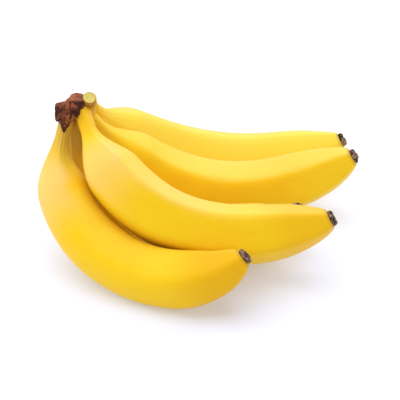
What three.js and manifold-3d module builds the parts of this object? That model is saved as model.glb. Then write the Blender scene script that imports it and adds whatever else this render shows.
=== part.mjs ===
// A bunch of five ripe bananas lying on a table, still joined at the crown.
// Millimetres. +X runs from the crown to the blossom ends, +Y to the back, +Z up, the table is Z = 0.
import * as THREE from 'three';
import { mergeVertices } from 'three/addons/utils/BufferGeometryUtils.js';
import Module from 'manifold-3d';

// Clearance between neighbouring pieces.
const GAP = 0.3;

// Each finger's spine is a cubic Bezier from its root in the crown to its blossom end.
// girth is the mean radius at the fattest place, neck the shares of it at the root and below the crown,
// taper how far the body thins towards the neck, ridge how sharp the edges between its five faces are,
// roll turns those faces round the spine in degrees, and tip is the way the blossom end faces.
const FINGERS = [
  { name: 'front', girth: 17.3, neck: [0.28, 0.25], taper: 0.36, ridge: 4.5, roll: 29, onTable: true,
    tip: [0.78, 0.15, 0.6],
    spine: [[-78.5, 3.9, 85], [-108.3, -25, 28.3], [-27.1, -78.9, -10.4], [23.4, -82.8, 38.5]] },
  { name: 'upper', girth: 17.2, neck: [0.31, 0.275], taper: 0.14, ridge: 8, roll: 20, onTable: false,
    tip: [0.88, 0.05, 0.47],
    spine: [[-71.7, 6.3, 85.2], [-53.7, -54.1, 59.1], [-9.2, -47.8, 10.8], [74.7, -49.4, 43.9]] },
  { name: 'inner', girth: 16.2, neck: [0.28, 0.42], taper: 0.4, ridge: 7, roll: 44, onTable: true,
    tip: [0.55, 0, 0.83],
    spine: [[-75, 8.9, 79.6], [-84.7, 3.3, 10.9], [21.2, -31.2, 3.6], [58.3, -16.3, 30.8]] },
  { name: 'middle', girth: 17.6, neck: [0.24, 0.265], taper: 0.24, ridge: 9, roll: 27, onTable: true,
    tip: [0.84, 0.03, 0.54],
    spine: [[-71, 13, 83.3], [-33.8, 32.7, 13.3], [30.4, 32.4, -3.1], [93.5, 22.3, 46.3]] },
  { name: 'back', girth: 17.1, neck: [0.24, 0.265], taper: 0.41, ridge: 5.5, roll: 35, onTable: true,
    tip: [0.86, 0.03, 0.51],
    spine: [[-66.6, 21.8, 80.3], [-50.6, 85.8, 27.9], [17.7, 87.8, -9.3], [89.7, 60.5, 37.5]] },
];

// Girth along a finger, as shares of its length and of its fattest radius.
const NECK_LENGTH = 0.08;
const SHOULDER_START = 0.07;
const SHOULDER_END = 0.255;
const TAPER_LENGTH = 0.5;
const NOSE_START = 0.76;
const NOSE_POWER = 0.72;
const END_GIRTH = 0.33;
const SLIMMING_START = 0.55;
const SLIMMING_DEPTH = 0.105;
const TIP_TURN_START = 0.86;

// A finger has five flattened faces. Its skin is meshed in sides round it and stations along it,
// which crowd together at both ends.
const FACES = 5;
const SIDES = 20;
const STATIONS = 26;
const END_CROWDING = 0.06;

// Blossom end: rings of [distance along the spine, radius] from its foot to the bottom of its dished end.
const TIP_RINGS = [[0, 4.3], [0.5, 4.5], [1.2, 4.4], [1.9, 3.9], [2.3, 3.1], [2.1, 1.6]];
const TIP_FLOOR = 1.8;
const TIP_SIDES = 15;
const TIP_LOBE = 0.07;

// Crown: a rough block carried along X, as [share, front Y, back Y, bottom Z, top Z].
const CROWN_LEFT = -88.5;
const CROWN_RIGHT = -70;
const CROWN_SECTIONS = [
  [0, 3.5, 8, 80, 89.5],
  [0.35, 2, 11.5, 80, 92.5],
  [0.7, 1.5, 15, 82.5, 95],
  [1, 2, 14, 86, 95],
];
const CROWN_SQUARENESS = 4;
const CROWN_END_POWER = 8;
const CROWN_SIDES = 24;
const CROWN_STATIONS = 14;

// The brow of the crown bulges over the tops of the front necks, and a dried tongue hangs from it.
const BROW_LEFT = [-87.2, 1, 85.5];
const BROW_RIGHT = [-72.5, 2.2, 88.2];
const BROW_RINGS = [[0, 3.8], [0.12, 5.4], [0.5, 6], [0.8, 5.4], [1, 3]];
const TONGUE_TOP = [-81, 0, 87];
const TONGUE_POINT = [-82, -6.2, 78];
const TONGUE_RINGS = [[0, 4.5], [0.45, 3.4], [0.75, 1.8], [1, 0.5]];

// The stalk of a finger that was cut away, and the heel that carries the three right-hand necks.
const STALK_FOOT = [-69, 14.5, 82];
const STALK_FACE = [-66.8, 7, 94.5];
const STALK_RINGS = [[0, 5.4], [0.35, 4.6], [0.75, 4.1], [1, 4.1]];
const HEEL_START = [-73, 7, 87];
const HEEL_END = [-66, 23.5, 83];
const HEEL_RINGS = [[0, 2.4], [0.08, 3.8], [0.25, 5], [0.5, 5.4], [0.75, 5], [0.92, 3.8], [1, 2.4]];
const BAR_SIDES = 16;
const BAR_HINT = [0.3, 1, 0.1];

const TABLE_SPAN = 400;
const TABLE_DEPTH = 40;

const PEEL = { color: 0xf6c81e, roughness: 0.5, metalness: 0 };
const DRIED = { color: 0x5c2f1c, roughness: 0.85, metalness: 0 };
const BLOSSOM = { color: 0x3a261b, roughness: 0.9, metalness: 0 };
const FRESH_CUT = { color: 0xdfd06a, roughness: 0.7, metalness: 0 };

const wasm = await Module();
wasm.setup();

const vector = (point) => new THREE.Vector3(...point);
const clamp01 = (x) => Math.min(Math.max(x, 0), 1);
const { smoothstep, lerp, degToRad } = THREE.MathUtils;

// A closed surface through rings of equal count, with a pole closing each end.
function closedRings(rings, firstPole, lastPole) {
  const sides = rings[0].length;
  const points = [...rings.flat(), firstPole, lastPole];
  const first = points.length - 2;
  const last = points.length - 1;
  const lastRing = (rings.length - 1) * sides;
  const index = [];
  for (let side = 0; side < sides; side += 1) {
    const next = (side + 1) % sides;
    index.push(first, next, side);
    index.push(last, lastRing + side, lastRing + next);
    for (let ring = 0; ring < lastRing; ring += sides) {
      index.push(ring + side, ring + next, ring + sides + next);
      index.push(ring + side, ring + sides + next, ring + sides + side);
    }
  }
  const geometry = new THREE.BufferGeometry().setFromPoints(points);
  geometry.setIndex(index);
  return geometry;
}

function toSolid(geometry) {
  const bare = mergeVertices(geometry);
  const vertProperties = new Float32Array(bare.attributes.position.array);
  const triVerts = new Uint32Array(bare.index.array);
  return new wasm.Manifold(new wasm.Mesh({ numProp: 3, vertProperties, triVerts }));
}

function toMesh(name, solid, finish) {
  const { vertProperties, triVerts } = solid.getMesh();
  const geometry = new THREE.BufferGeometry();
  geometry.setAttribute('position', new THREE.BufferAttribute(vertProperties, 3));
  geometry.setIndex(new THREE.BufferAttribute(triVerts, 1));
  geometry.computeVertexNormals();
  const mesh = new THREE.Mesh(geometry, new THREE.MeshStandardMaterial(finish));
  mesh.name = name;
  return mesh;
}

// A slim neck, a shoulder, a body that fattens to the middle, and a rounded nose.
function girthShare(finger, u) {
  const neck = lerp(...finger.neck, clamp01(u / NECK_LENGTH));
  const taper = finger.taper * clamp01(1 - u / TAPER_LENGTH) ** 2;
  const slimming = SLIMMING_DEPTH * (clamp01(u - SLIMMING_START) / (1 - SLIMMING_START)) ** 2;
  const body = lerp(neck, 1 - taper - slimming, smoothstep(u, SHOULDER_START, SHOULDER_END));
  const nose = clamp01((u - NOSE_START) / (1 - NOSE_START));
  return body * lerp(END_GIRTH, 1, (1 - nose ** 2) ** NOSE_POWER);
}

// Radius of the five-faced section at an angle; a higher power makes its ridges sharper.
function sectionRadius(angle, power) {
  let sum = 0;
  for (let face = 0; face < FACES; face += 1) {
    const facing = Math.cos(angle - (2 * Math.PI * face) / FACES);
    sum += Math.max(facing, 0) ** power;
  }
  return sum ** (-1 / power);
}

function sectionMean(power) {
  let sum = 0;
  for (let side = 0; side < SIDES; side += 1) {
    sum += sectionRadius((2 * Math.PI * side) / SIDES, power);
  }
  return sum / SIDES;
}

// The section's axes: one in the plane of the finger's bend, one across it.
// Towards the blossom end the sections turn to face its own way.
function spineFrame(finger, u) {
  const [root, bend, , end] = finger.spine.map(vector);
  const bendNormal = end.clone().sub(root).cross(bend.sub(root)).normalize();
  const turn = smoothstep(u, TIP_TURN_START, 1);
  const along = finger.curve.getTangentAt(u).lerp(vector(finger.tip).normalize(), turn).normalize();
  const inward = bendNormal.clone().cross(along).normalize();
  return { centre: finger.curve.getPointAt(u), along, inward, across: along.clone().cross(inward) };
}

function ringOf(frame, sides, radiusAt) {
  return Array.from({ length: sides }, (_, side) => {
    const angle = (2 * Math.PI * side) / sides;
    const radius = radiusAt(angle);
    return frame.centre.clone()
      .addScaledVector(frame.inward, radius * Math.cos(angle))
      .addScaledVector(frame.across, radius * Math.sin(angle));
  });
}

// One finger's skin, with every radius grown by an allowance.
function fingerSolid(finger, allowance) {
  const mean = sectionMean(finger.ridge);
  const turn = degToRad(finger.roll);
  const frames = [];
  const rings = [];
  for (let station = 0; station < STATIONS; station += 1) {
    const t = station / (STATIONS - 1);
    const u = t - END_CROWDING * Math.sin(2 * Math.PI * t);
    const frame = spineFrame(finger, u);
    frame.centre.addScaledVector(frame.along, allowance * (2 * t - 1));
    const radius = (finger.girth * girthShare(finger, u)) / mean;
    frames.push(frame);
    rings.push(ringOf(
      frame,
      SIDES,
      (angle) => radius * sectionRadius(angle - turn, finger.ridge) + allowance,
    ));
  }
  return toSolid(closedRings(rings, frames[0].centre, frames.at(-1).centre));
}

// The dried blossom end: a short lobed knob with a dished face, just clear of the finger's end.
function tipSolid(finger) {
  const frame = spineFrame(finger, 1);
  const at = (distance) => frame.centre.clone().addScaledVector(frame.along, GAP + distance);
  const rings = TIP_RINGS.map(([distance, radius]) => ringOf(
    { ...frame, centre: at(distance) },
    TIP_SIDES,
    (angle) => radius * (1 + TIP_LOBE * Math.cos(FACES * angle)),
  ));
  return toSolid(closedRings(rings, at(0), at(TIP_FLOOR)));
}

// A round bar from one point to another, as [share of the way, radius], grown by an allowance.
function barSolid(start, end, radii, allowance) {
  const from = vector(start);
  const along = vector(end).sub(from);
  const inward = vector(BAR_HINT).cross(along).normalize();
  const across = along.clone().normalize().cross(inward);
  const overrun = allowance / along.length();
  const at = (share) => from.clone().addScaledVector(along, share + overrun * (2 * share - 1));
  const rings = radii.map(([share, radius]) => ringOf(
    { centre: at(share), inward, across },
    BAR_SIDES,
    () => radius + allowance,
  ));
  return toSolid(closedRings(rings, at(0), at(1)));
}

// The crown's section at a share of its width, straight between the named sections.
function crownSection(share) {
  const right = Math.max(1, CROWN_SECTIONS.findIndex(([limit]) => limit >= share));
  const [before, after] = [CROWN_SECTIONS[right - 1], CROWN_SECTIONS[right]];
  const blend = (share - before[0]) / (after[0] - before[0]);
  return before.map((value, slot) => lerp(value, after[slot], blend));
}

function middleOf(ring) {
  const sum = new THREE.Vector3();
  ring.forEach((point) => sum.add(point));
  return sum.divideScalar(ring.length);
}

// Squared-off rings carried along X, drawn in at both ends.
function crownBlock() {
  const rings = [];
  for (let station = 0; station < CROWN_STATIONS; station += 1) {
    const reach = -Math.cos((Math.PI * (station + 0.5)) / CROWN_STATIONS);
    const [share, front, back, bottom, top] = crownSection((reach + 1) / 2);
    const draw = (1 - Math.abs(reach) ** CROWN_END_POWER) ** (1 / CROWN_SQUARENESS) / 2;
    const x = lerp(CROWN_LEFT, CROWN_RIGHT, share);
    rings.push(Array.from({ length: CROWN_SIDES }, (_, side) => {
      const angle = (2 * Math.PI * side) / CROWN_SIDES;
      const square = (wave) => Math.sign(wave) * Math.abs(wave) ** (2 / CROWN_SQUARENESS);
      return new THREE.Vector3(
        x,
        (front + back) / 2 + (back - front) * draw * square(Math.cos(angle)),
        (bottom + top) / 2 + (top - bottom) * draw * square(Math.sin(angle)),
      );
    }));
  }
  return toSolid(closedRings(rings, middleOf(rings[0]), middleOf(rings.at(-1))));
}

function stalkSolid(allowance) {
  const stump = barSolid(STALK_FOOT, STALK_FACE, STALK_RINGS, allowance);
  return stump.add(barSolid(HEEL_START, HEEL_END, HEEL_RINGS, allowance));
}

const bunch = new THREE.Group();
bunch.name = 'banana_bunch';

for (const finger of FINGERS) {
  finger.curve = new THREE.CubicBezierCurve3(...finger.spine.map(vector));
}

// Fingers on the table are pressed flat where they touch it.
const tableBlock = new THREE.BoxGeometry(TABLE_SPAN, TABLE_SPAN, TABLE_DEPTH);
tableBlock.deleteAttribute('normal');
tableBlock.deleteAttribute('uv');
tableBlock.translate(0, 0, -TABLE_DEPTH / 2);
const table = toSolid(tableBlock);

// Each finger gives way to the ones before it, and has its own socket in the crown or the stalk.
let sockets = null;
for (const finger of FINGERS) {
  let peel = fingerSolid(finger, 0);
  if (finger.onTable) peel = peel.subtract(table);
  if (sockets) peel = peel.subtract(sockets);
  bunch.add(toMesh(`banana_${finger.name}`, peel, PEEL));
  bunch.add(toMesh(`blossom_end_${finger.name}`, tipSolid(finger), BLOSSOM));
  const socket = fingerSolid(finger, GAP);
  sockets = sockets ? sockets.add(socket) : socket;
}

const brow = barSolid(BROW_LEFT, BROW_RIGHT, BROW_RINGS, 0);
const tongue = barSolid(TONGUE_TOP, TONGUE_POINT, TONGUE_RINGS, 0);
const crown = crownBlock().add(brow).add(tongue).subtract(stalkSolid(GAP)).subtract(sockets);
bunch.add(toMesh('crown', crown, DRIED));
bunch.add(toMesh('cut_stalk', stalkSolid(0).subtract(sockets), FRESH_CUT));

export default bunch;
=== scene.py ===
import bpy
import numpy as np
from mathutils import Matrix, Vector


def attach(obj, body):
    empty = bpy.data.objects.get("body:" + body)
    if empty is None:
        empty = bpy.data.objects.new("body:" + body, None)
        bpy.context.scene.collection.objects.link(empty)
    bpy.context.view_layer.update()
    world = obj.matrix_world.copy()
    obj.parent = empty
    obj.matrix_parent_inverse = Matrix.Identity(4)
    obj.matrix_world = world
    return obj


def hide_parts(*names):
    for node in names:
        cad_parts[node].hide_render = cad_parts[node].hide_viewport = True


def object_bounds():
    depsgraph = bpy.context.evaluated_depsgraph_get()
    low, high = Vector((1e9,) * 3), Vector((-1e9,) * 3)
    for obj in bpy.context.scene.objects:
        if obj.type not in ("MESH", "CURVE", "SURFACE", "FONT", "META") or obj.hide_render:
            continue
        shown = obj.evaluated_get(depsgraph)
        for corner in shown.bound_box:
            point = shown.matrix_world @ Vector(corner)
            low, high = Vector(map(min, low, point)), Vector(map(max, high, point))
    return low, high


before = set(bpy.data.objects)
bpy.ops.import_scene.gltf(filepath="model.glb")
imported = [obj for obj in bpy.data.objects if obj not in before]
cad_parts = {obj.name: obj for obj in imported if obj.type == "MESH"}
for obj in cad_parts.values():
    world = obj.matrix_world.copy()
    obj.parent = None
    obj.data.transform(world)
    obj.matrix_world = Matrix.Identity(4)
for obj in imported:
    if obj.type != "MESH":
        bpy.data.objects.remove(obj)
cad_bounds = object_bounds()

low, high = np.round(cad_bounds, 4)
print("solid model from", low, "to", high)

# %% [markdown]
# The picture is taken from thirty degrees above the table and a metre away, with a long lens, so
# that the bunch fills the square with little perspective. A short lens close by would fill it too,
# but it would make the front banana too large beside the back one. The point looked at lies on the
# table.
# %% Camera
LOOK_AT = Vector((-0.001, 0.0485, 0.0))
DISTANCE = 1.0
ELEVATION = np.radians(30.0)
LENS_MM = 138.46
SENSOR_MM = 36.0

camera_data = bpy.data.cameras.new("camera")
camera_data.lens = LENS_MM
camera_data.sensor_width = SENSOR_MM
camera = bpy.data.objects.new("camera", camera_data)
camera.location = LOOK_AT + DISTANCE * Vector((0.0, -np.cos(ELEVATION), np.sin(ELEVATION)))
camera.rotation_euler = (LOOK_AT - camera.location).to_track_quat("-Z", "Y").to_euler()
bpy.context.scene.collection.objects.link(camera)
bpy.context.scene.camera = camera

print("camera at", [round(v, 4) for v in camera.location])

# %% [markdown]
# No two bananas grow alike. Their small unevenness could be sculpted, or come from a Displace
# modifier with a noise texture. Here it is smooth noise worked out on whole arrays: a seeded table
# gives the same bunch every time, and the noise can be drawn out along a banana as its fibres are.
# %% Noise
NOISE_VALUES = 8192
NOISE_STRIDES = (73, 1291, 3571)


def eased(value, low, high):
    """0 below low, 1 above high, and 3s^2 - 2s^3 between them, s being the share of the way."""
    share = np.clip((value - low) / (high - low), 0.0, 1.0)
    return share * share * (3.0 - 2.0 * share)


def noise(points, wavelength, seed):
    """Noise from -1 to 1: random values at corners of cubes a wavelength wide, eased between."""
    table = np.random.default_rng(seed).uniform(-1.0, 1.0, NOISE_VALUES)
    scaled = points / wavelength
    cell = np.floor(scaled).astype(np.int64)
    share = eased(scaled - cell, 0.0, 1.0)
    total = np.zeros(points.shape[:-1])
    for corner in np.ndindex(2, 2, 2):
        slot = ((cell + corner) * NOISE_STRIDES).sum(axis=-1) % NOISE_VALUES
        total += np.where(corner, share, 1.0 - share).prod(axis=-1) * table[slot]
    return total


print("a quarter of the way between, the easing gives", eased(0.25, 0.0, 1.0))

# %% [markdown]
# A peel has no corners, only a length and a way round. Every piece is therefore a grid of points,
# ring after ring, closed by a pole at each end. Primitives and modifiers could be stacked instead,
# but with whole arrays of points every measure stays in sight.
# %% Surfaces from grids
def rings_round(centre, inward, across, radius, angle):
    """Points centre + radius (cos angle x inward + sin angle x across), ring after ring."""
    towards = (radius * np.cos(angle))[..., None] * inward[..., None, :]
    aside = (radius * np.sin(angle))[..., None] * across[..., None, :]
    return centre[..., None, :] + towards + aside


def grid_faces(rings, sides):
    """Corners of a closed tube's faces: quads between rings, triangles from end rings to poles."""
    index = np.arange(rings * sides).reshape(rings, sides)
    after = np.roll(index, -1, axis=1)
    quads = np.stack([index[:-1], after[:-1], after[1:], index[1:]], axis=-1).reshape(-1, 4)
    first = np.full(sides, rings * sides)
    foot = np.stack([first, after[0], index[0]], axis=-1)
    head = np.stack([first + 1, index[-1], after[-1]], axis=-1)
    return quads.tolist() + foot.tolist() + head.tolist()


def with_poles(grid):
    """The values of a grid in a row, followed by those of its poles, the means of its end rings."""
    rows = grid.reshape(-1, *grid.shape[2:])
    return np.concatenate([rows, grid[:1].mean(axis=1), grid[-1:].mean(axis=1)])


def place_mesh(name, mesh):
    """A smooth-shaded object at the origin."""
    mesh.shade_smooth()
    piece = bpy.data.objects.new(name, mesh)
    bpy.context.scene.collection.objects.link(piece)
    return piece


def make_piece(name, points, faces):
    """An object made of points and faces."""
    mesh = bpy.data.meshes.new(name)
    mesh.from_pydata(points.tolist(), [], faces)
    return place_mesh(name, mesh)


def make_tube(name, grid):
    """A grid of rings as an object, each end closed at the middle of its ring."""
    return make_piece(name, with_poles(grid), grid_faces(*grid.shape[:2]))


print("a tube of 3 rings of 4 points has", len(grid_faces(3, 4)), "faces")

# %% [markdown]
# The bunch has five bananas, and no two have the same bend or girth. One could be modelled and
# copied, but copies show. Each has values of its own here, most of them those of the solid model.
#
# girth is the mean radius in millimetres at the fattest place, and neck gives the shares of it at
# the root and below the crown. taper is how far the body thins towards the neck. ridge is how sharp
# the edges between the faces are on the body and on the nose, and roll turns the faces round the
# spine in degrees. tip is the way the blossom end faces. seed is the first of the seeds for noise,
# and each further kind of noise takes the next. The other values are strengths of tones: the tan
# of the neck, its olive with painted shade on the right side, the painted highlight on the
# shoulder, the lemon of a less ripe banana with painted light on the faces turned to the front,
# the gold of a riper one with painted shade at the root, and the painted highlight on the faces
# turned up at the shoulder and at the nose.
# %% The five bananas
FINGERS = {
    "front": dict(
        girth=17.3, neck=(0.28, 0.25), taper=0.36, ridge=(3.6, 5.5), roll=29,
        tip=(0.78, 0.15, 0.6), seed=11,
        spine=[[-78.5, 3.9, 85], [-108.3, -25, 28.3], [-27.1, -78.9, -10.4], [23.4, -82.8, 38.5]],
        tan=1.0, olive_and_shade=1.0, shoulder_highlight=1.3, lemon_and_front_light=0.0, golden_and_root_shade=0.7, top_highlight=(0.15, 0.1),
    ),
    "upper": dict(
        girth=17.2, neck=(0.31, 0.275), taper=0.14, ridge=(9.0, 8.0), roll=20,
        tip=(0.88, 0.05, 0.47), seed=23,
        spine=[[-71.7, 6.3, 85.2], [-53.7, -54.1, 59.1], [-9.2, -47.8, 10.8], [74.7, -49.4, 43.9]],
        tan=0.1, olive_and_shade=0.0, shoulder_highlight=1.0, lemon_and_front_light=0.0, golden_and_root_shade=0.5, top_highlight=(0.75, 0.25),
    ),
    "inner": dict(
        girth=16.2, neck=(0.28, 0.42), taper=0.4, ridge=(7.0, 7.0), roll=44,
        tip=(0.55, 0.0, 0.83), seed=37,
        spine=[[-75, 8.9, 79.6], [-84.7, 3.3, 10.9], [21.2, -31.2, 3.6], [58.3, -16.3, 30.8]],
        tan=1.0, olive_and_shade=1.0, shoulder_highlight=0.5, lemon_and_front_light=0.0, golden_and_root_shade=0.4, top_highlight=(0.3, 0.3),
    ),
    "middle": dict(
        girth=17.6, neck=(0.24, 0.265), taper=0.24, ridge=(9.0, 9.0), roll=27,
        tip=(0.84, 0.03, 0.54), seed=41,
        spine=[[-71, 13, 83.3], [-33.8, 32.7, 13.3], [30.4, 32.4, -3.1], [93.5, 22.3, 46.3]],
        tan=0.2, olive_and_shade=0.0, shoulder_highlight=0.3, lemon_and_front_light=0.1, golden_and_root_shade=0.0, top_highlight=(0.3, 0.45),
    ),
    "back": dict(
        girth=17.1, neck=(0.24, 0.265), taper=0.48, ridge=(5.5, 5.5), roll=35,
        tip=(0.86, 0.03, 0.51), seed=59,
        spine=[[-66.6, 21.8, 80.3], [-50.6, 85.8, 27.9], [17.7, 87.8, -9.3], [89.7, 60.5, 37.5]],
        tan=0.1, olive_and_shade=0.0, shoulder_highlight=1.2, lemon_and_front_light=1.0, golden_and_root_shade=0.0, top_highlight=(0.8, 0.6),
    ),
}

print(len(FINGERS), "bananas:", ", ".join(FINGERS))

# %% [markdown]
# A banana bends because it grows upwards again after its hand has tipped over. Its spine is one
# cubic curve. A curve object could hold it, but the peel also needs the ways along, inward and
# across at every ring, and a formula gives them all at once.
# %% Spines
MM = 0.001
TIP_TURN_START = 0.86
CURVE_STEPS = 2001


def unit(vectors):
    """Each vector divided by its length."""
    return vectors / np.linalg.norm(vectors, axis=-1, keepdims=True)


def on_curve(spine, t):
    """The cubic curve (1-t)^3 P0 + 3(1-t)^2 t P1 + 3(1-t) t^2 P2 + t^3 P3."""
    p0, p1, p2, p3 = spine
    return (1 - t) ** 3 * p0 + 3 * (1 - t) ** 2 * t * p1 + 3 * (1 - t) * t**2 * p2 + t**3 * p3


def curve_direction(spine, t):
    """The curve's tangent (1-t)^2 (P1-P0) + 2(1-t) t (P2-P1) + t^2 (P3-P2), made one long."""
    first, second, third = np.diff(spine, axis=0)
    return unit((1 - t) ** 2 * first + 2 * (1 - t) * t * second + t**2 * third)


def spine_frames(finger, shares):
    """Points and axes of a spine at shares of its length, and that length.

    Along is the tangent, turned near the end towards the way that the blossom end faces. Inward is
    the normal of the bend's plane crossed with along, and across is along crossed with inward.
    """
    spine = np.array(finger["spine"]) * MM
    steps = np.linspace(0.0, 1.0, CURVE_STEPS)[:, None]
    gaps = np.linalg.norm(np.diff(on_curve(spine, steps), axis=0), axis=1)
    walked = np.concatenate([[0.0], np.cumsum(gaps)])
    t = np.interp(shares * walked[-1], walked, steps[:, 0])[:, None]
    turn = eased(shares, TIP_TURN_START, 1.0)[:, None]
    along = unit(curve_direction(spine, t) * (1 - turn) + unit(np.array(finger["tip"])) * turn)
    bend_normal = unit(np.cross(spine[3] - spine[0], spine[1] - spine[0]))
    inward = unit(np.cross(bend_normal, along))
    return on_curve(spine, t), along, inward, np.cross(along, inward), walked[-1]


for name, finger in FINGERS.items():
    print(name, "is", round(spine_frames(finger, np.array([1.0]))[-1] / MM), "mm along its curve")

# %% [markdown]
# A banana is slim at the neck, full in the middle and drawn in at the nose, and its peel has five
# faces that meet in ridges. A curve object with a bevel could carry one section along the spine.
# Here the section changes on the way, so its girth and its shape are functions of the share of the
# way along.
# %% Girths
# Girth along a banana, as shares of its length and of its fattest radius.
NECK_LENGTH = 0.08
SHOULDER = (0.07, 0.255)
TAPER_LENGTH = 0.5
SLIMMING_START = 0.55
SLIMMING_DEPTH = 0.105
NOSE_START = 0.76
NOSE_POWER = 0.72
END_GIRTH = 0.33
FACES = 5


def girth_share(u, neck, depth):
    """Share of the fattest radius at the share u of the way along.

    A stem is eased into a body of 1 - taper - slimming. The taper falls with the square of the way
    from the neck, and the slimming grows with the square of the way past the middle. The nose
    multiplies the body by 0.33 + 0.67 (1 - n^2)^0.72, n being the share of the nose.
    """
    at_root, below_crown = neck
    stem = at_root + (below_crown - at_root) * np.clip(u / NECK_LENGTH, 0, 1)
    taper = depth * np.clip(1 - u / TAPER_LENGTH, 0, 1) ** 2
    slimming = SLIMMING_DEPTH * (np.clip(u - SLIMMING_START, 0, 1) / (1 - SLIMMING_START)) ** 2
    body = stem + (1 - taper - slimming - stem) * eased(u, *SHOULDER)
    nose = np.clip((u - NOSE_START) / (1 - NOSE_START), 0, 1)
    return body * (END_GIRTH + (1 - END_GIRTH) * (1 - nose**2) ** NOSE_POWER)


def section_share(angle, power):
    """Radius of the section, (sum of cos^p over facing faces)^(-1/p), as a share of its mean."""
    faces = 2 * np.pi / FACES * np.arange(FACES)
    facing = np.maximum(np.cos(angle[..., None] - faces), 0.0)
    radius = (facing ** power[..., None]).sum(axis=-1) ** (-1.0 / power)
    return radius / radius.mean(axis=-1, keepdims=True)


for name, finger in FINGERS.items():
    halfway = girth_share(0.5, finger["neck"], finger["taper"])
    print(name, "is", round(2 * finger["girth"] * halfway, 1), "mm thick halfway along")

# %% [markdown]
# The peel is one grid of rings for each banana. Ridges are soft at the shoulder and firmer on the
# body and nose; the neck carries fine ribs. Slow swellings and faint fibres keep the surface from
# looking turned on a lathe. A bump in the finish could suggest them, but in the mesh they also
# shape the outline. A banana that lies on the table is pressed flat where it touches.
# %% Peel surfaces
STATIONS = 300
SIDES = 150
END_CROWDING = 0.06
EVEN = np.linspace(0.0, 1.0, STATIONS)
STATION_SHARES = EVEN - END_CROWDING * np.sin(2 * np.pi * EVEN)
SHARES = np.repeat(STATION_SHARES[:, None], SIDES, axis=1)
ANGLES = np.tile(2 * np.pi * np.arange(SIDES) / SIDES, (STATIONS, 1))

# Ridges, from the power of a nearly round section to each banana's own.
ROUND_POWER = 2.5
SHOULDER_FIRMNESS = 0.45
RIDGE_RISE = (0.16, 0.42)
RIDGE_CHANGE = (0.6, 0.85)

# Heights and wavelengths of the relief, and where along the banana each kind lies.
MEAN_RADIUS = 17 * MM
LUMP = 0.22 * MM
LUMP_WAVE = 22 * MM
FIBRE = 0.035 * MM
FIBRE_WAVE = 2.2 * MM
FIBRE_DRAW = (0.08, 1, 1)
RIB = 0.07 * MM
RIB_COUNT = 15
RIB_WANDER = 2.0
RIB_WAVE = 30 * MM
BODY_RISE = (0.1, 0.3)
BODY_FALL = (0.9, 1.0)
NECK_FALL = (0.1, 0.22)


def peel_surface(finger):
    """A grid of peel points, and where each lies on the straightened banana.

    The radius is girth x girth share x section share, plus slow noise, plus noise drawn out along
    the banana, plus ribs cos(15 angle) on the neck. Heights below the table are raised to it.
    """
    centre, _, inward, across, length = spine_frames(finger, STATION_SHARES)
    turned = ANGLES - np.radians(finger["roll"])
    on_body, on_nose = finger["ridge"]
    sharpness = on_body + (on_nose - on_body) * eased(SHARES, *RIDGE_CHANGE)
    firmness = SHOULDER_FIRMNESS + (1 - SHOULDER_FIRMNESS) * eased(SHARES, *RIDGE_RISE)
    power = ROUND_POWER + (sharpness - ROUND_POWER) * firmness
    girths = finger["girth"] * MM * girth_share(SHARES, finger["neck"], finger["taper"])
    radius = girths * section_share(turned, power)
    straight = np.stack(
        [SHARES * length, MEAN_RADIUS * np.cos(ANGLES), MEAN_RADIUS * np.sin(ANGLES)], axis=-1
    )
    body = eased(SHARES, *BODY_RISE) * (1 - eased(SHARES, *BODY_FALL))
    neck = 1 - eased(SHARES, *NECK_FALL)
    wander = RIB_WANDER * noise(straight, RIB_WAVE, finger["seed"] + 2)
    radius += LUMP * body * noise(straight, LUMP_WAVE, finger["seed"])
    radius += FIBRE * body * noise(straight * FIBRE_DRAW, FIBRE_WAVE, finger["seed"] + 1)
    radius += RIB * neck * np.cos(RIB_COUNT * turned + wander)
    grid = rings_round(centre, inward, across, radius, ANGLES)
    grid[..., 2] = np.maximum(grid[..., 2], 0.0)
    return grid, straight


print("peel grid:", STATIONS, "rings of", SIDES, "points")

# %% [markdown]
# Each point of the peel is marked with what its colour depends on: how far along the banana it
# lies, how near a ridge, and which way it faces. The neck is tan where it leaves the crown, olive
# with painted shade on its right side, and painted shade lies at its root next to the crown. The
# left of the shoulder and the faces turned up get painted highlights, and the faces turned to the
# front get a lemon tone with painted light. An image painted by hand could hold all this; numbers
# stored on the points need no image and follow the shape.
# %% Peel marks
# Where a mark rises or falls, in shares of the length.
TOP_HIGHLIGHT_CHANGE = (0.35, 0.8)
TOP_HIGHLIGHT_RISE = (0.1, 0.3)
TAN_FALL = (0.08, 0.2)
OLIVE_AND_SHADE_FALL = (0.1, 0.3)
SHOULDER_HIGHLIGHT_RISE = (0.1, 0.2)
SHOULDER_HIGHLIGHT_FALL = (0.24, 0.42)
LEMON_AND_LIGHT_RISE = (0.0, 0.12)
ROOT_SHADE_FALL = (0.05, 0.15)
NOSE_GOLD_RISE = (0.72, 0.93)

# Where a mark rises, in parts of the outward direction.
FACING_UP = (0.5, 0.98)
FACING_UP_LEFT = (0.35, 0.85)
FACING_FRONT = (-0.4, 0.2)
FACING_RIGHT = (-0.15, 0.45)


def paint(piece, name, values):
    """Stores one number for each point, which the finish reads by name."""
    layer = piece.data.attributes.new(name, "FLOAT", "POINT")
    layer.data.foreach_set("value", np.asarray(values, dtype=np.float32))


def paint_vector(piece, name, values):
    """Stores one vector for each point."""
    layer = piece.data.attributes.new(name, "FLOAT_VECTOR", "POINT")
    layer.data.foreach_set("vector", np.asarray(values, dtype=np.float32).ravel())


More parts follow.
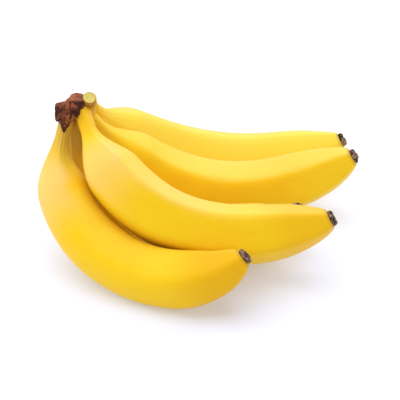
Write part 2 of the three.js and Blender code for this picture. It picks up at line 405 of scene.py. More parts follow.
def peel_marks(finger, grid):
    """Marks by name: products of eased shares of the length and eased parts of the normal."""
    round_it = np.roll(grid, -1, axis=1) - np.roll(grid, 1, axis=1)
    outward = unit(np.cross(round_it, np.gradient(grid, axis=0)))
    right, behind, up = np.moveaxis(outward, -1, 0)
    turned = ANGLES - np.radians(finger["roll"])
    at_shoulder, at_nose = finger["top_highlight"]
    top_highlight = at_shoulder + (at_nose - at_shoulder) * eased(SHARES, *TOP_HIGHLIGHT_CHANGE)
    painted_shoulder_highlight = eased(SHARES, *SHOULDER_HIGHLIGHT_RISE) * (1 - eased(SHARES, *SHOULDER_HIGHLIGHT_FALL))
    root_and_nose = 1 - eased(SHARES, *ROOT_SHADE_FALL) + eased(SHARES, *NOSE_GOLD_RISE)
    return {
        "along": SHARES,
        "ridge": 0.5 - 0.5 * np.cos(FACES * turned),
        # painted highlight on the faces turned up
        "painted_top_highlight": top_highlight * eased(up, *FACING_UP) * eased(SHARES, *TOP_HIGHLIGHT_RISE),
        "tan": finger["tan"] * (1 - eased(SHARES, *TAN_FALL)),
        # olive of the neck, with painted shade on its right side
        "olive_and_shade": finger["olive_and_shade"] * (1 - eased(SHARES, *OLIVE_AND_SHADE_FALL)) * eased(right, *FACING_RIGHT),
        # painted highlight on the upper left of the shoulder
        "painted_shoulder_highlight": finger["shoulder_highlight"] * painted_shoulder_highlight * eased(up - right, *FACING_UP_LEFT),
        # lemon tone of a less ripe banana, with painted light on the faces turned to the front
        "lemon_and_front_light": finger["lemon_and_front_light"] * eased(SHARES, *LEMON_AND_LIGHT_RISE) * eased(-behind, *FACING_FRONT),
        # gold of a riper nose, and painted shade at the root next to the crown
        "golden_and_root_shade": finger["golden_and_root_shade"] * root_and_nose,
    }


peels = []
for name, finger in FINGERS.items():
    grid, straight = peel_surface(finger)
    piece = make_tube(f"peel_{name}", grid)
    paint_vector(piece, "straight", with_poles(straight))
    for mark, values in peel_marks(finger, grid).items():
        paint(piece, mark, with_poles(values))
    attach(piece, "root")
    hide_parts(f"banana_{name}")
    peels.append(piece)
    lowest = round(grid[..., 2].min() / MM, 3)
    print(name, "peel:", len(piece.data.vertices), "points, lowest at", lowest, "mm")

# %% [markdown]
# The withered flower leaves a dark dry knob at the end of each banana: a short lobed stub with a
# ragged dished face. It could be built of separate crumbs. At this size it is enough to turn a
# lathe profile round the end of the spine and let noise break its rim and sides.
# %% Blossom ends
# Millimetres. The profile is points of [distance along the spine, radius].
TIP_SIDE = [[-0.6, 3.6], [0.0, 4.3], [0.5, 4.5], [1.2, 4.4], [1.9, 3.9]]
TIP_FACE = [[2.3, 3.1], [2.2, 2.2], [1.9, 1.2], [1.7, 0.4]]
TIP_PROFILE = np.array(TIP_SIDE + TIP_FACE)
TIP_RINGS = 56
TIP_SIDES = 90
TIP_GAP = 0.3
TIP_LOBE = 0.07
TIP_LEAST_RADIUS = 0.2
COARSE_CRUMB = 0.6
COARSE_CRUMB_WAVE = 2.4
FINE_CRUMB = 0.35
FINE_CRUMB_WAVE = 0.9
CRUMB_SIDEWAYS = 0.8
CRUMB_RISE = (-0.6, 0.6)
RIM_RISE = (1.1, 2.0)
DISH_RISE = (1.4, 2.0)
DISH_EDGE = (2.0, 3.6)


def blossom_surface(finger):
    """A profile turned round the end of the spine, lobed by 1 + 0.07 cos(5 angle), plus noise."""
    centre, along, inward, across, _ = spine_frames(finger, np.array([1.0]))
    steps = np.linalg.norm(np.diff(TIP_PROFILE, axis=0), axis=1)
    walked = np.concatenate([[0.0], np.cumsum(steps)])
    wanted = np.linspace(0.0, walked[-1], TIP_RINGS)
    angle = np.tile(2 * np.pi * np.arange(TIP_SIDES) / TIP_SIDES, (TIP_RINGS, 1))
    lobes = 1 + TIP_LOBE * np.cos(FACES * (angle - np.radians(finger["roll"])))
    distance = np.repeat(np.interp(wanted, walked, TIP_PROFILE[:, 0])[:, None], TIP_SIDES, axis=1)
    radius = np.interp(wanted, walked, TIP_PROFILE[:, 1])[:, None] * lobes
    plan = np.stack([distance, radius * np.cos(angle), radius * np.sin(angle)], axis=-1)
    crumbs = COARSE_CRUMB * noise(plan, COARSE_CRUMB_WAVE, finger["seed"] + 3)
    crumbs += FINE_CRUMB * noise(plan, FINE_CRUMB_WAVE, finger["seed"] + 4)
    crumbs *= eased(distance, *CRUMB_RISE)
    radius = np.maximum(radius + crumbs * CRUMB_SIDEWAYS, TIP_LEAST_RADIUS)
    distance = distance + crumbs * eased(distance, *RIM_RISE)
    out = (TIP_GAP + distance)[..., None] * MM * along[:, None]
    grid = rings_round(centre, inward, across, radius * MM, angle) + out
    dish = eased(distance, *DISH_RISE) * (1 - eased(radius, *DISH_EDGE))
    return grid, crumbs, dish


blossoms = []
for name, finger in FINGERS.items():
    grid, crumbs, dish = blossom_surface(finger)
    piece = make_tube(f"dried_blossom_{name}", grid)
    paint(piece, "crumb", with_poles(crumbs))
    paint(piece, "dish", with_poles(dish))
    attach(piece, "root")
    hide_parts(f"blossom_end_{name}")
    blossoms.append(piece)
print(len(blossoms), "blossom ends of", len(blossoms[0].data.vertices), "points each")

# %% [markdown]
# The crown and the heel of the stalk are strands of tissue that have grown together. A boolean
# could join rough closed shapes, but it leaves sharp seams and uneven faces. A voxel remesh gives
# one skin of even faces, which is smoothed, and then every point can be pushed in or out by noise.
# %% Fused tissue
BAR_STATIONS = 40
BAR_SIDES = 48
BAR_HINT = (0.3, 1.0, 0.1)
SMOOTHING = 0.5
SMOOTHING_ROUNDS = 4


def bar(start, end, rings):
    """A round bar between two points through rings of [share of the way, radius], in mm."""
    start = np.array(start, dtype=float)
    way = np.array(end, dtype=float) - start
    along = unit(way)
    inward = unit(np.cross(BAR_HINT, along))
    rings = np.array(rings, dtype=float)
    share = np.linspace(0.0, 1.0, BAR_STATIONS)[:, None]
    radius = np.interp(share, rings[:, 0], rings[:, 1])
    angle = 2 * np.pi * np.arange(BAR_SIDES) / BAR_SIDES
    return rings_round(start + share * way, inward, np.cross(along, inward), radius, angle)


def fuse(name, grids, voxel):
    """One closed mesh round several overlapping grids: joined, remeshed in cubes and smoothed."""
    points, faces = [], []
    for grid in grids:
        offset = sum(len(p) for p in points)
        points.append(with_poles(grid * MM))
        faces += [[corner + offset for corner in face] for face in grid_faces(*grid.shape[:2])]
    rough = make_piece(name + "_strands", np.concatenate(points), faces)
    remesh = rough.modifiers.new("fuse", "REMESH")
    remesh.mode = "VOXEL"
    remesh.voxel_size = voxel * MM
    smooth = rough.modifiers.new("soften", "SMOOTH")
    smooth.factor = SMOOTHING
    smooth.iterations = SMOOTHING_ROUNDS
    graph = bpy.context.evaluated_depsgraph_get()
    mesh = bpy.data.meshes.new_from_object(rough.evaluated_get(graph))
    mesh.name = name
    bpy.data.objects.remove(rough)
    return place_mesh(name, mesh)


def points_of(piece):
    """Positions, in millimetres, and outward normals of a piece's points."""
    count = len(piece.data.vertices)
    places = np.empty(count * 3)
    normals = np.empty(count * 3)
    piece.data.vertices.foreach_get("co", places)
    piece.data.vertex_normals.foreach_get("vector", normals)
    return places.reshape(-1, 3) / MM, normals.reshape(-1, 3)


def push(piece, places, normals, amount):
    """Moves every point along its normal by its own amount, in millimetres."""
    moved = (places + normals * amount[:, None]) * MM
    piece.data.vertices.foreach_set("co", moved.ravel())
    piece.data.update()


print("a bar is a grid of", bar((0, 0, 0), (0, 0, 10), [[0, 2], [1, 1]]).shape, "numbers")

# %% [markdown]
# The crown is where the hand was cut from the plant. It dries to a hard block, with a tongue
# hanging between the necks and a brow over them. A scaled cube could stand for the block. It is
# carried along X through five squared sections instead, because it is low on the left and steps up
# to the cut.
# %% Crown block
# Millimetres. A section is [share of the way, front Y, back Y, bottom Z, top Z].
CROWN_LEFT = -88.5
CROWN_RIGHT = -70.0
CROWN_SECTIONS = np.array(
    [
        [0, 3.5, 8, 80, 91],
        [0.36, 2, 10.5, 80, 91.4],
        [0.55, 1.5, 13.5, 81.5, 94.6],
        [0.7, 1.5, 15, 82.5, 95],
        [1, 2, 14, 86, 95],
    ]
)
CROWN_SQUARENESS = 4
CROWN_END_POWER = 8
CROWN_STATIONS = 60
CROWN_SIDES = 72
CROWN_VOXEL = 0.3
TONGUE_TOP = [-81, 0, 87]
TONGUE_POINT = [-82, -6.2, 78]
TONGUE_RINGS = [[0, 4.5], [0.45, 3.4], [0.75, 1.8], [1, 0.5]]
BROW_LEFT = [-87.2, 1, 85.5]
BROW_RIGHT = [-72.5, 2.2, 88.2]
BROW_RINGS = [[0, 3.8], [0.12, 5.4], [0.5, 6], [0.8, 5.4], [1, 3]]


def signed_power(values, power):
    """|value|^power with the value's sign."""
    return np.sign(values) * np.abs(values) ** power


def crown_block():
    """Rings |y|^4 + |z|^4 = 1 carried along X, drawn in at both ends by (1 - |x|^8)^(1/4)."""
    reach = -np.cos(np.pi * (np.arange(CROWN_STATIONS) + 0.5) / CROWN_STATIONS)
    share = ((reach + 1) / 2)[:, None]
    shares, *columns = CROWN_SECTIONS.T
    front, back, low, high = (np.interp(share, shares, column) for column in columns)
    draw = (1 - np.abs(reach) ** CROWN_END_POWER)[:, None] ** (1 / CROWN_SQUARENESS) / 2
    angle = 2 * np.pi * np.arange(CROWN_SIDES) / CROWN_SIDES
    wide = signed_power(np.cos(angle), 2 / CROWN_SQUARENESS)
    tall = signed_power(np.sin(angle), 2 / CROWN_SQUARENESS)
    x = CROWN_LEFT + share * (CROWN_RIGHT - CROWN_LEFT)
    y = (front + back) / 2 + (back - front) * draw * wide
    z = (low + high) / 2 + (high - low) * draw * tall
    return np.stack([np.repeat(x, CROWN_SIDES, axis=1), y, z], axis=-1)


tongue = bar(TONGUE_TOP, TONGUE_POINT, TONGUE_RINGS)
brow = bar(BROW_LEFT, BROW_RIGHT, BROW_RINGS)
crown = fuse("dried_crown", [crown_block(), tongue, brow], CROWN_VOXEL)
print("crown:", len(crown.data.vertices), "points")

# %% [markdown]
# The sides of the crown are torn into lobes by shallow furrows and fibrous; its top is the cut,
# which is flatter and paler. Painted shade darkens the furrows, and a painted shadow line runs
# along the upper brink of the sides. Strands could be modelled one by one. Noise drawn out along Z
# makes them all at once, and the places that are dark or ochre, and those with painted shade, are
# marked from where they lie.
# %% Crown relief
# Millimetres. Height, wavelength and seed of each kind of noise, and how it is drawn out along X, Y
# and Z.
LUMP_HEIGHT, CROWN_LUMP_WAVE, LUMP_SEED = 0.7, 5.2, 76
FIBRE_HEIGHT, CROWN_FIBRE_WAVE, FIBRE_SEED = 0.4, 1.3, 71
FURROW_DEPTH, FURROW_WAVE, FURROW_SEED = 0.7, 4.5, 75
GRAIN_HEIGHT, GRAIN_WAVE, GRAIN_SEED = 0.2, 0.8, 73
CUT_GRAIN_HEIGHT = 0.3
LUMP_FLATNESS = 0.5
CROWN_FIBRE_DRAW = (1.0, 1.0, 0.35)
FURROW_DRAW = (1.0, 0.6, 0.5)
FURROW_WIDTH = 0.1

# Where the cut, the dark places, the painted shadow line along the brink and the ochre lie.
# HANGING_BELOW is measured downwards and LEFT_END to the left.
CUT_FACING = (0.5, 0.8)
CUT_HEIGHT = (90.0, 92.0)
CUT_FRONT = (2.0, 4.5)
HANGING_BELOW = (-83.0, -80.5)
LEFT_END = (84.5, 88.0)
DARK_CORNER = (-72.5, 2.0, 92.5)
DARK_CORNER_WIDTH = 3.2
BRINK_FACING = 0.5
BRINK_WIDTH = 0.2
BRINK_FRONT = (0.1, 0.5)
OCHRE_HEIGHT = 84.5
OCHRE_WIDTH = 2.6
OCHRE_RIGHT = (-82.0, -77.0)

# How much each place or kind of noise lightens or darkens the tone.
MIDDLE_TONE, FIBRE_TONE, LUMP_TONE = 0.5, 0.4, 0.3
# The last of these sets the painted shadow line along the upper brink of the sides.
HANGING_DARK, LEFT_DARK, BRINK_SHADOW = 0.9, 0.5, 0.7


def bell(value, width):
    """exp(-(value / width)^2), which is 1 at zero and fades out within about two widths."""
    return np.exp(-((value / width) ** 2))


places, normals = points_of(crown)
cut = eased(normals[:, 2], *CUT_FACING) * eased(places[:, 2], *CUT_HEIGHT)
cut *= eased(places[:, 1], *CUT_FRONT)
torn = 1 - cut
hanging = eased(-places[:, 2], *HANGING_BELOW)
lumps = signed_power(noise(places, CROWN_LUMP_WAVE, LUMP_SEED), LUMP_FLATNESS)
fibres = noise(places * CROWN_FIBRE_DRAW, CROWN_FIBRE_WAVE, FIBRE_SEED)
furrow = noise(places * FURROW_DRAW, FURROW_WAVE, FURROW_SEED)
grain = noise(places, GRAIN_WAVE, GRAIN_SEED)
split = bell(furrow, FURROW_WIDTH) * (1 - hanging)
relief = LUMP_HEIGHT * lumps * (1 - hanging) + FIBRE_HEIGHT * fibres
relief += GRAIN_HEIGHT * grain - FURROW_DEPTH * split
amount = torn * relief + cut * CUT_GRAIN_HEIGHT * grain
push(crown, places, normals, amount)
corner = bell(np.linalg.norm(places - DARK_CORNER, axis=1), DARK_CORNER_WIDTH)
# a painted shadow line along the upper brink of the sides, just under the cut
brink_shadow = bell(normals[:, 2] - BRINK_FACING, BRINK_WIDTH) * eased(-normals[:, 1], *BRINK_FRONT) * torn
left = eased(-places[:, 0], *LEFT_END)
ochre = bell(places[:, 2] - OCHRE_HEIGHT, OCHRE_WIDTH) * eased(places[:, 0], *OCHRE_RIGHT)
paint(crown, "cut", cut)
paint(crown, "fibre", np.clip(MIDDLE_TONE + FIBRE_TONE * fibres + LUMP_TONE * lumps, 0, 1))
# painted shade in the splits and a painted shadow line along the brink, and darker where it hangs
# low, at the left end and in a corner near the stalk
dark_and_shade = split + HANGING_DARK * hanging + LEFT_DARK * left + corner + BRINK_SHADOW * brink_shadow
paint(crown, "dark_and_shade", np.clip(dark_and_shade, 0, 1))
paint(crown, "ochre", ochre)
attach(crown, "root")
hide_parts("crown")
print("crown pushed from", amount.min().round(2), "to", amount.max().round(2), "mm")

# %% [markdown]
# One finger was cut from the bunch. Its stump shows a pale moist face inside an olive rind, and
# stands on the heel of tissue that carries the right-hand necks. Two plain cylinders could do. Bars
# that swell and narrow are fused instead, so that stump and heel run into each other, and the face
# is dished by a parabola, as it sinks when it dries.
# %% Cut stalk
# Millimetres. Rings are [share of the way, radius].
STALK_FOOT = np.array([-69.0, 14.5, 82.0])
STALK_FACE = np.array([-66.8, 7.0, 94.5])
STALK_RINGS = [[0, 5.4], [0.35, 4.6], [0.75, 4.1], [1, 4.1]]
HEEL_START = [-73, 7, 87]
HEEL_END = [-66, 23.5, 83]
HEEL_RINGS = [[0, 2.4], [0.08, 3.8], [0.25, 5], [0.5, 5.4], [0.75, 5], [0.92, 3.8], [1, 2.4]]
STALK_VOXEL = 0.25
FACE_DEPTH = (-0.7, -0.25)
FACE_EDGE = (3.3, 3.9)
FACE_RADIUS = 4.0
FACE_DISH = 0.35
FACE_GRAIN, FACE_GRAIN_WAVE, FACE_GRAIN_SEED = 0.1, 0.7, 82
RIND_DEPTH = (-9.0, -4.0)
STRAND_HEIGHT, STRAND_WAVE, STRAND_SEED = 0.2, 1.1, 81
STRAND_DRAW = (1.0, 1.0, 0.15)

stump = bar(STALK_FOOT, STALK_FACE, STALK_RINGS)
heel = bar(HEEL_START, HEEL_END, HEEL_RINGS)
stalk = fuse("stalk_stump", [stump, heel], STALK_VOXEL)
places, normals = points_of(stalk)
stalk_axis = unit(STALK_FACE - STALK_FOOT)
height = (places - STALK_FACE) @ stalk_axis
radius = np.linalg.norm(places - STALK_FACE - height[:, None] * stalk_axis, axis=1)
face = eased(height, *FACE_DEPTH) * (1 - eased(radius, *FACE_EDGE))
rind = eased(height, *RIND_DEPTH) * (1 - face)
strands = noise(places * STRAND_DRAW, STRAND_WAVE, STRAND_SEED)
face_relief = FACE_GRAIN * noise(places, FACE_GRAIN_WAVE, FACE_GRAIN_SEED)
face_relief -= FACE_DISH * (1 - (radius / FACE_RADIUS) ** 2)
push(stalk, places, normals, STRAND_HEIGHT * strands * (1 - face) + face * face_relief)
paint(stalk, "face", face)
paint(stalk, "rind", rind)
paint(stalk, "strand", 0.5 + 0.5 * strands)
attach(stalk, "root")
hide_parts("cut_stalk")
print("cut stalk:", len(places), "points, face", round(float(face.sum()), 1), "of them")

# %% [markdown]
# Finishes are small graphs of shader nodes. They could be wired link by link, but sums are shorter
# to write and to read. This class holds one output socket, and arithmetic on it adds the Math
# nodes.
# %% Shader sums
class Socket:
    """An output socket in a material's nodes."""

    def __init__(self, tree, socket=None):
        self.tree = tree
        self.socket = socket

    def node(self, kind, settings, sockets, output=0):
        """Adds a node: its settings first, then the value or the link of each input."""
        made = self.tree.nodes.new(kind)
        for name, value in settings.items():
            setattr(made, name, value)
        for name, value in sockets.items():
            if isinstance(value, Socket):
                self.tree.links.new(value.socket, made.inputs[name])
            else:
                made.inputs[name].default_value = value
        return Socket(self.tree, made.outputs[output])

    def math(self, operation, first, second):
        """A Math node."""
        return self.node("ShaderNodeMath", {"operation": operation}, {0: first, 1: second})

    def __add__(self, other):
        return self.math("ADD", self, other)

    def __radd__(self, other):
        return self.math("ADD", other, self)

    def __sub__(self, other):
        return self.math("SUBTRACT", self, other)

    def __rsub__(self, other):
        return self.math("SUBTRACT", other, self)

    def __mul__(self, other):
        return self.math("MULTIPLY", self, other)

    def __rmul__(self, other):
        return self.math("MULTIPLY", other, self)

    def __pow__(self, other):
        return self.math("POWER", self, other)

    def __rpow__(self, other):
        return self.math("POWER", other, self)

    def rise(self, low, high):
        """0 where this is below low, 1 above high, eased between."""
        return self.node(
            "ShaderNodeMapRange",
            {"interpolation_type": "SMOOTHSTEP"},
            {"Value": self, "From Min": low, "From Max": high},
        )

    def blend(self, first, second):
        """The colour first where this is 0 and second where it is 1."""
        return self.node("ShaderNodeMix", {"data_type": "RGBA"}, {0: self, 6: first, 7: second}, 2)

    def stretched(self, *shares):
        """This vector with each part multiplied by its share."""
        return self.node("ShaderNodeVectorMath", {"operation": "MULTIPLY"}, {0: self, 1: shares})

    def grain(self, scale, detail):
        """Noise read at this vector, with scale waves to the metre."""
        sockets = {"Vector": self, "Scale": scale, "Detail": detail}
        return self.node("ShaderNodeTexNoise", {}, sockets, "Fac")


print("shader sums: +, -, * and ** on sockets")

# %% [markdown]
# Waxy peel, dry tissue and a white table can all start from Blender's Principled shader. Its links
# could be written out in every finish. These few helpers keep a finish down to its colours and its
# marks.
# %% Finish tools
def colour(red, green, blue):
    """A colour socket's four numbers."""
    return (red, green, blue, 1.0)


def start_finish(name):
    """A material with its Principled shader and a socket to add nodes from."""
    material = bpy.data.materials.new(name)
    material.use_nodes = True
    shader = material.node_tree.nodes["Principled BSDF"]
    return material, shader, Socket(material.node_tree)


def feed(shader, name, value):
    """Links a socket into one of the shader's inputs."""
    value.tree.links.new(value.socket, shader.inputs[name])


def roughen(shader, grain, least, spread):
    """Feeds least + spread x grain into the shader's roughness."""
    feed(shader, "Roughness", least + grain * spread)


def emboss(shader, height, strength, depth):
    """Feeds a height into the shader's normal through a Bump node, its depth in metres."""
    values = {"Strength": strength, "Distance": depth, "Height": height}
    feed(shader, "Normal", height.node("ShaderNodeBump", {}, values))


def painted(start, name, output="Fac"):
    """A number or vector stored on the piece's points."""
    return start.node("ShaderNodeAttribute", {"attribute_name": name}, {}, output)


def position(start):
    """The point's place on the piece, in metres."""
    return start.node("ShaderNodeTexCoord", {}, {}, "Object")


print("finish tools: colours, stored marks, roughness and relief")

# %% [markdown]
# Ripe peel is a clear warm yellow with a satin skin. Painted highlights make it paler on the
# shoulder and on the faces turned up. The right side of a neck is olive, where the green goes
# last, with painted shade laid over it. Riper noses are more golden, and the root next to the crown
# is golden with painted shade. A less ripe banana is more lemon, with painted light on the faces
# turned to the front. Faint streaks run the length of the banana, the ridges are rubbed a little
# darker, and the last of the nose is withered. One flat yellow would look like plastic, so the
# tones are laid over each other where the marks say.
# %% Peel finish
RIPE = colour(0.85, 0.51, 0.008)
RIPE_LIGHT = colour(0.89, 0.59, 0.014)
STREAKED = colour(0.88, 0.6, 0.03)
RUBBED = colour(0.6, 0.36, 0.03)
WITHERED = colour(0.3, 0.2, 0.03)
SPECKED = colour(0.3, 0.15, 0.02)
PEEL_GLOSS_TINT = colour(1.0, 0.7, 0.15)
PEEL_GLOSS = 0.3

# A pair says between which values of its noise or mark a tone comes in, and a strength how far
# it covers.
STREAK_DRAW = (0.05, 1.0, 1.0)
STREAK_SHOWS, STREAK_STRENGTH = (0.35, 0.75), 0.3
RIDGE_NARROWNESS = 10.0
RUBBED_SHOWS, RUBBED_STRENGTH = (0.45, 0.7), 0.2
WITHERED_REACH, WITHERED_LEAST, WITHERED_MOTTLE = (0.99, 1.0), 0.2, 0.5
SPECK_SHOWS, SPECK_PATCHES, SPECK_STRENGTH = (0.74, 0.8), (0.5, 0.7), 0.5
STREAK_RELIEF, FLECK_RELIEF = 0.6, 0.4

# Strength and colour of each mark, laid one over the other in this order.
MARK_TONES = {
    # painted highlight on the faces turned up
    "painted_top_highlight": (0.55, colour(0.88, 0.62, 0.25)),
    # lemon tone of a less ripe banana, with painted light on the faces turned to the front
    "lemon_and_front_light": (0.7, colour(0.9, 0.71, 0.09)),
    # gold of a riper nose, and painted shade at the root next to the crown
    "golden_and_root_shade": (1.0, colour(0.74, 0.37, 0.006)),
    # painted highlight on the upper left of the shoulder
    "painted_shoulder_highlight": (0.55, colour(0.9, 0.56, 0.19)),
}
MARK_STREAKING = 0.5
STREAKED_MARK_TONES = {
    "tan": (0.4, colour(0.62, 0.4, 0.09)),
    # olive of the neck, with painted shade on its right side
    "olive_and_shade": (0.35, colour(0.42, 0.27, 0.015)),
}

peel, shader, start = start_finish("banana peel")
where = painted(start, "straight", "Vector")
mottle = where.grain(scale=70.0, detail=4.0)
streak = where.stretched(*STREAK_DRAW).grain(scale=900.0, detail=3.0)
fleck = where.grain(scale=1600.0, detail=2.0)
tone = mottle.blend(RIPE, RIPE_LIGHT)
tone = (streak.rise(*STREAK_SHOWS) * STREAK_STRENGTH).blend(tone, STREAKED)
for mark, (strength, mark_tone) in MARK_TONES.items():
    tone = (painted(start, mark) * strength).blend(tone, mark_tone)
for mark, (strength, mark_tone) in STREAKED_MARK_TONES.items():
    streaked_strength = strength + streak * MARK_STREAKING
    tone = (painted(start, mark) * streaked_strength).blend(tone, mark_tone)
ridge_line = painted(start, "ridge") ** RIDGE_NARROWNESS
tone = (ridge_line * streak.rise(*RUBBED_SHOWS) * RUBBED_STRENGTH).blend(tone, RUBBED)
nose = painted(start, "along").rise(*WITHERED_REACH)
tone = (nose * (WITHERED_LEAST + mottle * WITHERED_MOTTLE)).blend(tone, WITHERED)
specks = fleck.rise(*SPECK_SHOWS) * mottle.rise(*SPECK_PATCHES) * SPECK_STRENGTH
tone = specks.blend(tone, SPECKED)
feed(shader, "Base Color", tone)
roughen(shader, mottle, least=0.4, spread=0.16)
emboss(shader, streak * STREAK_RELIEF + fleck * FLECK_RELIEF, strength=0.12, depth=0.4 * MM)
shader.inputs["Specular IOR Level"].default_value = PEEL_GLOSS
shader.inputs["Specular Tint"].default_value = PEEL_GLOSS_TINT
for piece in peels:
    piece.data.materials.append(peel)
print("peel finish:", len(peel.node_tree.nodes), "nodes")

# %% [markdown]
# The blossom end is withered flower tissue: nearly black in its cracks, partly as painted shade,
# grey-brown where the crumbs stand up, with pale flecks, and quite matt. The tone could be noise
# alone; it follows the height of the crumbs, so that what is deep is dark.
# %% Blossom finish
CRACK_SHADE = colour(0.025, 0.012, 0.008)
CRUMB = colour(0.22, 0.125, 0.07)
PALE_FLECK = colour(0.55, 0.42, 0.32)
DISH_BROWN = colour(0.05, 0.024, 0.014)
BLOSSOM_GLOSS = 0.15
CRUMB_SHOWS = (-0.25, 0.35)
FLECK_SHOWS = (0.56, 0.64)
DISH_STRENGTH = 0.5

blossom, shader, start = start_finish("dried blossom")
fine = position(start).grain(scale=1100.0, detail=4.0)
# darkest where the crumbs lie low: painted shade in the cracks, over dark tissue
tone = painted(start, "crumb").rise(*CRUMB_SHOWS).blend(CRACK_SHADE, CRUMB)
tone = fine.rise(*FLECK_SHOWS).blend(tone, PALE_FLECK)
tone = (painted(start, "dish") * DISH_STRENGTH).blend(tone, DISH_BROWN)
feed(shader, "Base Color", tone)
roughen(shader, fine, least=0.75, spread=0.2)
emboss(shader, fine, strength=0.6, depth=0.4 * MM)
shader.inputs["Specular IOR Level"].default_value = BLOSSOM_GLOSS
for piece in blossoms:
    piece.data.materials.append(blossom)
print("blossom finish:", len(blossom.node_tree.nodes), "nodes")

# %% [markdown]
# Dried crown tissue is reddish brown and speckled, with an ochre band low on its right, and painted
# shade darkens the splits between its fibres and the upper brink of its sides. The cut on top has
# dried to a paler pinkish brown. Each tone could have a piece of its own, but on the real crown
# they run into each other, so one finish blends them by the marks.
# %% Crown finish
DEEP_BROWN = colour(0.055, 0.013, 0.008)
RED_BROWN = colour(0.25, 0.07, 0.025)
LIGHT_SPECKLE = colour(0.42, 0.16, 0.055)
DARK_SPECKLE = colour(0.04, 0.012, 0.01)
OCHRE = colour(0.55, 0.27, 0.05)
DARK_AND_SHADE_BROWN = colour(0.035, 0.011, 0.011)
CUT_BROWN = colour(0.2, 0.06, 0.03)
CUT_PINK = colour(0.36, 0.13, 0.07)
CROWN_GLOSS = 0.12
SPECKLE_DRAW = (1.0, 1.0, 0.4)
FIBRE_SHOWS = (0.2, 0.8)
LIGHT_SPECKLE_SHOWS, LIGHT_SPECKLE_STRENGTH = (0.53, 0.62), 0.55
DARK_SPECKLE_FADES, DARK_SPECKLE_STRENGTH = (0.36, 0.45), 0.6
OCHRE_SHOWS, OCHRE_STRENGTH = (0.42, 0.6), 0.7
BLOTCH_SHOWS = (0.35, 0.65)
DARK_AND_SHADE_STRENGTH = 0.85
CUT_STRENGTH = 0.9

dried, shader, start = start_finish("dried crown")
place = position(start)
fine = place.stretched(*SPECKLE_DRAW).grain(scale=1300.0, detail=4.0)
blotch = place.grain(scale=260.0, detail=3.0)
tone = painted(start, "fibre").rise(*FIBRE_SHOWS).blend(DEEP_BROWN, RED_BROWN)
light_speckles = fine.rise(*LIGHT_SPECKLE_SHOWS) * LIGHT_SPECKLE_STRENGTH
tone = light_speckles.blend(tone, LIGHT_SPECKLE)
dark_speckles = (1 - fine.rise(*DARK_SPECKLE_FADES)) * DARK_SPECKLE_STRENGTH
tone = dark_speckles.blend(tone, DARK_SPECKLE)
ochre_band = painted(start, "ochre") * fine.rise(*OCHRE_SHOWS) * OCHRE_STRENGTH
tone = ochre_band.blend(tone, OCHRE)
# painted shade in the splits and a painted shadow line along the brink, with the darker places low
# down, at the left end and near the stalk
tone = (painted(start, "dark_and_shade") * DARK_AND_SHADE_STRENGTH).blend(tone, DARK_AND_SHADE_BROWN)
cut_tone = blotch.rise(*BLOTCH_SHOWS).blend(CUT_BROWN, CUT_PINK)
tone = (painted(start, "cut") * CUT_STRENGTH).blend(tone, cut_tone)
feed(shader, "Base Color", tone)
roughen(shader, fine, least=0.7, spread=0.25)
emboss(shader, fine, strength=0.8, depth=0.5 * MM)
shader.inputs["Specular IOR Level"].default_value = CROWN_GLOSS
crown.data.materials.append(dried)
print("crown finish:", len(dried.node_tree.nodes), "nodes")

# %% [markdown]
# The cut face is pale greenish yellow, moist and slightly shiny, with small darker dots where the
# sap ran. Its rind is olive going to brown, and the heel below is the yellow of the necks. The dots
# could be small pieces; at half a millimetre they are noise with a sharp threshold.
# %% Stalk finish
HEEL_DARK = colour(0.6, 0.37, 0.03)
HEEL_LIGHT = colour(0.82, 0.52, 0.05)
RIND_DARK = colour(0.24, 0.11, 0.015)
RIND_LIGHT = colour(0.55, 0.31, 0.05)
FACE_DARK = colour(0.52, 0.42, 0.06)
FACE_LIGHT = colour(0.74, 0.62, 0.16)
SAP_DOT = colour(0.5, 0.36, 0.06)
FACE_MOTTLE = (0.35, 0.65)
DOT_SHOWS, DOT_STRENGTH = (0.6, 0.68), 0.5

fresh, shader, start = start_finish("fresh cut")
place = position(start)
strand = painted(start, "strand")
fine = place.grain(scale=1500.0, detail=3.0)
dots = place.grain(scale=1100.0, detail=1.0).rise(*DOT_SHOWS)
face_tone = fine.rise(*FACE_MOTTLE).blend(FACE_DARK, FACE_LIGHT)
face_tone = (dots * DOT_STRENGTH).blend(face_tone, SAP_DOT)
heel_tone = strand.blend(HEEL_DARK, HEEL_LIGHT)
rind_tone = strand.blend(RIND_DARK, RIND_LIGHT)
tone = painted(start, "rind").blend(heel_tone, rind_tone)
tone = painted(start, "face").blend(tone, face_tone)
feed(shader, "Base Color", tone)
roughen(shader, fine, least=0.5, spread=0.25)
emboss(shader, fine, strength=0.3, depth=0.3 * MM)
stalk.data.materials.append(fresh)
print("stalk finish:", len(fresh.node_tree.nodes), "nodes")

# %% [markdown]
# The table is a plain white sheet. It could be pure white, but the peel throws yellow light on it.
# Close to the fruit a cooler tint is therefore painted into it against that light, and it glows
# faintly so that its shadows stay light.
# %% Table
TABLE_HALF = 3.0
TABLE_CORNERS = np.array([[-1, -1, 0], [1, -1, 0], [1, 1, 0], [-1, 1, 0]]) * TABLE_HALF
TABLE_WHITE = colour(0.69, 0.69, 0.69)
PAINTED_COOL_TINT = colour(0.63, 0.66, 0.82)
COOL_REACH = (0.07, 0.2)
TABLE_GLOW_TINT = colour(0.95, 0.97, 1.0)
TABLE_GLOW = 0.26
TABLE_ROUGHNESS = 0.9

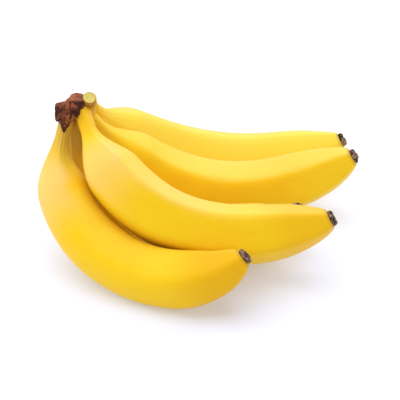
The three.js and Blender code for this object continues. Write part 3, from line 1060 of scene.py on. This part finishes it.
table = make_piece("table", TABLE_CORNERS, [(0, 1, 2, 3)])
white, shader, start = start_finish("white table")
away = start.node("ShaderNodeVectorMath", {"operation": "LENGTH"}, {0: position(start)}, "Value")
# a cool tint painted in close to the fruit, against the yellow light thrown by the peel
feed(shader, "Base Color", away.rise(*COOL_REACH).blend(PAINTED_COOL_TINT, TABLE_WHITE))
shader.inputs["Emission Color"].default_value = TABLE_GLOW_TINT
shader.inputs["Emission Strength"].default_value = TABLE_GLOW
shader.inputs["Roughness"].default_value = TABLE_ROUGHNESS
shader.inputs["Specular IOR Level"].default_value = 0.0
table.data.materials.append(white)
print("table:", 2 * TABLE_HALF, "m across")

# %% [markdown]
# One broad soft light hangs over the table, a larger one stands behind on the right, and two weaker
# panels fill in from the left and from the front. A single lamp would throw a hard shadow. These
# and a white surround let the table burn out to white, and only soft shadows are left under the
# fruit.
# %% Light
LIGHTS = {
    "overhead softbox": dict(
        place=(-0.25, -0.1, 1.5), target=(0.0, 0.0, 0.0), size=(1.6, 1.6), watts=15.0
    ),
    "backdrop panel": dict(
        place=(0.8, 1.6, 1.3), target=(0.0, 0.0, 0.3), size=(3.0, 1.4), watts=34.0
    ),
    "side panel": dict(
        place=(-1.5, 0.1, 0.5), target=(0.0, 0.0, 0.03), size=(1.2, 1.2), watts=10.5
    ),
    "front panel": dict(
        place=(0.8, -1.7, 1.0), target=(0.0, 0.0, 0.03), size=(1.6, 1.2), watts=8.0
    ),
}
SURROUND_STRENGTH = 0.45


def soft_light(name, place, target, size, watts):
    """A rectangular area light aimed at a point."""
    data = bpy.data.lights.new(name, "AREA")
    data.shape = "RECTANGLE"
    data.size, data.size_y = size
    data.energy = watts
    lamp = bpy.data.objects.new(name, data)
    lamp.location = place
    lamp.rotation_euler = (Vector(target) - Vector(place)).to_track_quat("-Z", "Y").to_euler()
    bpy.context.scene.collection.objects.link(lamp)


for name, light in LIGHTS.items():
    soft_light(name, **light)
world = bpy.data.worlds.new("white surround")
world.use_nodes = True
surround = world.node_tree.nodes["Background"]
surround.inputs["Color"].default_value = colour(1.0, 1.0, 1.0)
surround.inputs["Strength"].default_value = SURROUND_STRENGTH
bpy.context.scene.world = world
bpy.context.scene.view_settings.view_transform = "Standard"
print(len(LIGHTS), "soft lights and a white surround")

# %% [markdown]
# Last, a line is printed to say that the bunch is done.
# %% Finish
print("bunch done")
